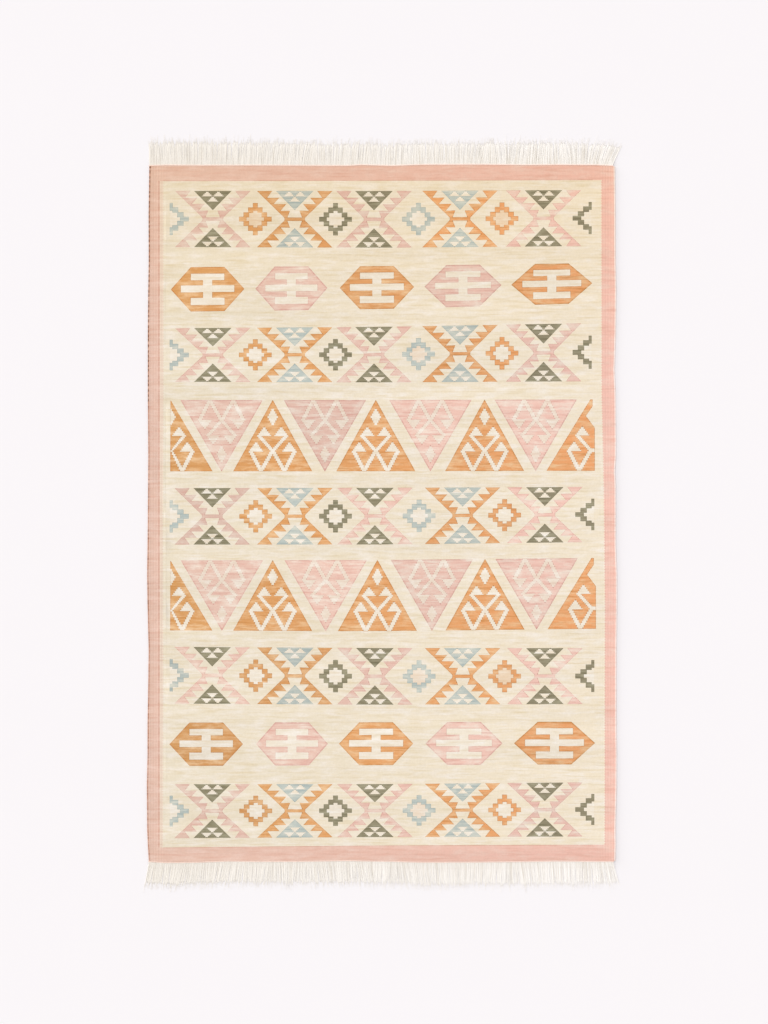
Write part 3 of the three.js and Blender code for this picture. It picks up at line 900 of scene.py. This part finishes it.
    wools = [weftWool(name, yarns[name]) for name in yarnOrder]
    piece = newPiece("kilim_cloth", vertices, outFaces, wools)
    dressFaces(piece, slots, lots, 50)
    return piece


clothPiece = makeCloth()
print("cloth woven:", len(clothPiece.data.polygons), "faces")

# The fringes; lengths in millimetres.
fringe = {
    "strands": 700,
    "sides": 6,
    "rings": 7,
    "rootRadius": 1.55,
    "tipRadius": 1.35,
    "endInset": 2.5,
    "lean": 1.15,  # over one: a yarn leans more towards its tip
    "wander": 2.6,
    "flatness": 0.42,  # the yarns are soft and lie flattened on the floor
    "frayFrom": 0.72,
    "frayRadius": 0.7,
    "rootHeight": 2.3,
    "headerWidth": 6.3,  # of the strip the yarns are tied in
    "headerAt": 2.3,
    "headerRadius": 1.6,
    "headerTurn": 9.0,
    # painted shade: the yarns are drawn dimmer near their roots, where they lie in shade
    "rootShade": 0.45,
    "tipLight": 0.4,  # painted light: the loose tips are drawn paler than the rest
    "strayShare": 0.8,
    "strayRadius": 0.32,
    "mostInClump": 8,
    "fewestInClump": 3,
    "clumpGather": 0.1,
    "clumpSwing": 0.022,
    "unevenTips": 12.0,
    "dropInClump": (-1.5, 1.0),
    "bow": 1.3,
    "layers": (0.3, 1.8),  # how high the yarns lie on each other at the row
    "lying": 0.62,  # height of a yarn's middle over the floor at its tip
    "bendsOver": 0.35,  # the share of its length in which a yarn comes down to the floor
    "fraySpread": (0.4, 1.6),
    "frayLength": (0.95, 1.03),
    "strayLength": (1.03, 1.26),
    "straySpread": 4,
    "rowHeight": 3.1,
    "rowSwing": (0.8, 0.5),
}
# Across, then the reach past the twined row and the sideways lean, much as in the solid fringes.
farRow = [(-800, 74, -0.06), (-640, 76, 0.0), (-480, 75, 0.05), (-340, 74, 0.08), (-250, 73, 0.16),
          (-215, 72, -0.06), (-120, 71, 0.12), (0, 70, 0.04), (120, 70, 0.0), (240, 70, -0.06),
          (345, 71, 0.2), (405, 71, -0.12), (450, 72, 0.14), (560, 72, 0.06), (650, 71, -0.14),
          (710, 70, 0.18), (760, 68, 0.32), (800, 60, 0.48)]
nearRow = [(-800, 72, -0.18), (-730, 74, -0.08), (-675, 73, -0.22), (-610, 72, -0.06), (-540, 71, -0.2),
           (-450, 70, -0.04), (-400, 71, -0.12), (-350, 70, 0.06), (-300, 71, -0.1), (-200, 72, 0.18),
           (-110, 73, 0.02), (-70, 73, 0.16), (20, 72, -0.04), (80, 74, 0.2), (150, 75, 0.12),
           (250, 75, 0.02), (420, 75, -0.06), (470, 77, 0.14), (620, 76, 0.04), (740, 74, 0.08),
           (800, 72, 0.28)]
spunYarns = {
    "cotton_warp_two_ply": {"left": "F6F1E7", "right": "FFFCF7", "dim": "E4DDD0"},
    "cotton_twined_header": {"left": "FCE2D2", "right": "FFE8DC", "dim": "F3D6C5"},
}


def spunYarn(name):
    # Undyed ivory yarn, two-ply and softly twisted: matt and woolly, with the twist as fine slanting
    # lines, each end a little lighter or dimmer than the next. Painted shade dims it near the roots and
    # over the far fringe; painted light pales its tips and its right side.
    look = spunYarns[name]
    material, tree = newMaterial(name)
    place = addNode(tree, "TexCoord")
    axes = addNode(tree, "SeparateXYZ", inputs={0: (place, "Object")})
    lengthwise = addNode(tree, "Mapping", inputs={
        "Vector": (place, "Object"), "Scale": (160, 14, 40)})
    tones = addNode(tree, "TexNoise", inputs={
        "Vector": (lengthwise, "Vector"), "Scale": 1.0, "Detail": 2.0})
    own = addNode(tree, "Attribute", {"attribute_name": "dyeLotAndShade"})
    share = addNode(tree, "Math", {"operation": "MULTIPLY"}, {
        0: (tones, "Fac"), 1: (own, "Fac")})
    shade = addNode(tree, "Mix", {"data_type": "RGBA"}, {
        0: (share, 0), 6: paintedLightAcross(tree, axes, look), 7: linear(look["dim"])})
    twist = addNode(tree, "TexWave", {"bands_direction": "DIAGONAL"}, {
        "Vector": (place, "Object"), "Scale": 2 * math.pi / 20 / 0.0045, "Distortion": 1.5})
    bump = addNode(tree, "Bump", inputs={
        "Height": (twist, "Fac"), "Strength": 0.35, "Distance": 0.0003})
    dull = addNode(tree, "MapRange", inputs={
        "Value": (tones, "Fac"), "To Min": 0.75, "To Max": 0.95})
    shader = addNode(tree, "BsdfPrincipled", inputs={
        "Base Color": (shade, 2), "Roughness": (dull, "Result"), "Normal": (bump, "Normal"),
        "Specular IOR Level": 0.2, "Sheen Weight": 0.35, "Sheen Roughness": 0.6})
    addNode(tree, "OutputMaterial", inputs={"Surface": (shader, "BSDF")})
    return material


def addTube(points, faces, path, radii, sides, flatness):
    start = len(points)
    up = Vector((0, 0, 1))
    for i, (spot, radius) in enumerate(zip(path, radii)):
        ahead = path[min(i + 1, len(path) - 1)] - path[max(i - 1, 0)]
        across = ahead.cross(up).normalized()
        raised = across.cross(ahead).normalized() * flatness
        for k in range(sides):
            angle = 2 * math.pi * (k + 0.5) / sides
            points.append(spot + radius * (math.cos(angle) * across + math.sin(angle) * raised))
    for i in range(len(path) - 1):
        for k in range(sides):
            a, b = start + i * sides + k, start + i * sides + (k + 1) % sides
            faces.append((a, b, b + sides, a + sides))
    faces.append(tuple(range(start + sides - 1, start - 1, -1)))
    last = start + (len(path) - 1) * sides
    faces.append(tuple(range(last, last + sides)))


def makeFringe(name, end, line, table, seed, dim, yarns):
    luck = random.Random(seed)
    reachLine = [(row[0], row[1]) for row in table]
    leanLine = [(row[0], row[2]) for row in table]
    left, right = line[0][0] + fringe["endInset"], line[-1][0] - fringe["endInset"]
    count, rings, flatness = fringe["strands"], fringe["rings"], fringe["flatness"]
    roots = [left + (right - left) * (i + 0.5) / count for i in range(count)]
    clumpOf = []
    while len(clumpOf) < count:
        size = luck.randint(fringe["fewestInClump"], fringe["mostInClump"])
        members = roots[len(clumpOf):len(clumpOf) + size]
        clump = (sum(members) / len(members), luck.uniform(-1, 1) * fringe["clumpSwing"],
                 luck.uniform(*fringe["dropInClump"]))
        clumpOf += [clump] * len(members)
    points, faces, tones = [], [], []
    for root, (middle, swing, drop) in zip(roots, clumpOf):
        base = readLine(line, root)
        uneven = luck.uniform(-1, 1) * abs(luck.uniform(-1, 1))
        reach = readLine(reachLine, root) + fringe["headerWidth"] + drop + uneven * fringe["unevenTips"]
        slant = (readLine(leanLine, root) + swing) * reach
        gather = (middle - root) * fringe["clumpGather"] * luck.uniform(0.4, 1.4)
        bow = luck.uniform(-fringe["bow"], fringe["bow"])
        phase, layer = luck.uniform(0, 6.3), luck.uniform(*fringe["layers"])
        # Each yarn's tone: the fringe's painted shade (dim) plus a random tone of its own.
        tone = dim + luck.uniform(0.0, 1.6) ** 2 * 0.5

        def spotAt(share, sideways=0.0):
            wander = bow * math.sin(fringe["wander"] * share + phase) * share
            x = root + slant * share ** fringe["lean"] + gather * smooth(share) + wander + sideways
            y = base + end * (2.0 + (reach - 2.0) * share)
            down = smooth(share / fringe["bendsOver"])
            lying = fringe["lying"] + layer * max(0, 1 - share)
            z = (fringe["rootHeight"] + lift(x, base)) * (1 - down) + lying * down
            return Vector(inRoom(x, y, z))

        shares = [0.95 * i / (rings - 1) for i in range(rings)]
        radii = [fringe["rootRadius"] + (fringe["tipRadius"] - fringe["rootRadius"]) * share
                 for share in shares[:-1]] + [0.5]
        addTube(points, faces, [spotAt(share) for share in shares],
                [radius * mm for radius in radii], fringe["sides"], flatness)
        for share in shares[:-1]:
            # Painted shade dims each yarn near its root.
            shaded = fringe["rootShade"] * (1 - smooth(share / 0.4))
            # Painted light pales each yarn towards its loose tip.
            tipLit = fringe["tipLight"] * smooth((share - 0.5) / 0.4)
            tones += [tone * (1 - tipLit) + shaded] * fringe["sides"]
        tones += [0.0] * 2
        before = len(faces)
        for sign in (-1, 1):
            spread = sign * luck.uniform(*fringe["fraySpread"])
            longer = luck.uniform(*fringe["frayLength"])
            tips = [fringe["frayFrom"], (fringe["frayFrom"] + longer) / 2, longer]
            path = [spotAt(share, spread * (share - tips[0]) / (longer - tips[0]) + sign * 0.5)
                    for share in tips]
            addTube(points, faces, path, [fringe["frayRadius"] * mm * size for size in (1.2, 1.0, 0.4)],
                    4, flatness)
        if luck.random() < fringe["strayShare"]:
            stray = luck.uniform(-fringe["straySpread"], fringe["straySpread"])
            longer = luck.uniform(*fringe["strayLength"])
            path = [spotAt(share, stray * (share - 0.8) / (longer - 0.8))
                    for share in (0.8, 1.0, longer)]
            addTube(points, faces, path, [fringe["strayRadius"] * mm] * 3, 4, 1.0)
        tones += [tone * (1 - fringe["tipLight"])] * (len(faces) - before)
    strandFaces = len(faces)

    # The twined row: two yarns turning round each other over every warp.
    swingAlong, swingUp = fringe["rowSwing"]
    turns = round((right - left) / fringe["headerTurn"])
    steps = turns * 8
    for strand in (0, 1):
        path = []
        for i in range(steps + 1):
            x = left - 1.5 + (right - left + 3) * i / steps
            angle = 2 * math.pi * (i / 8) + math.pi * strand
            y = readLine(line, x) + end * (fringe["headerAt"] + swingAlong * math.cos(angle))
            z = fringe["rowHeight"] + swingUp * math.sin(angle) + lift(x, readLine(line, x)) * 0.7
            path.append(Vector(inRoom(x, y, z)))
        addTube(points, faces, path, [fringe["headerRadius"] * mm] * len(path), 6, 0.7)
    tones += [0.5] * (len(faces) - strandFaces)
    piece = newPiece(name, [tuple(point) for point in points], faces, yarns)
    dressFaces(piece, [0] * strandFaces + [1] * (len(faces) - strandFaces), tones, 85)
    print(name, "laid:", len(faces), "faces")
    return piece


ivory = [spunYarn(name) for name in spunYarns]
# Painted shade: the far fringe, facing the light, is drawn dimmer than the near one.
farFringe = makeFringe("fringe_far_strands", 1, farLine, farRow, 7, 0.3, ivory)
nearFringe = makeFringe("fringe_near_strands", -1, nearLine, nearRow, 19, 0.0, ivory)

# What stands for what.
for piece, node, slot in ((clothPiece, "woven_cloth", "wool_flatweave"),
                          (farFringe, "fringe_far", "fringe_yarn"),
                          (nearFringe, "fringe_near", "fringe_yarn")):
    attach(piece, "root")
    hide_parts(node)
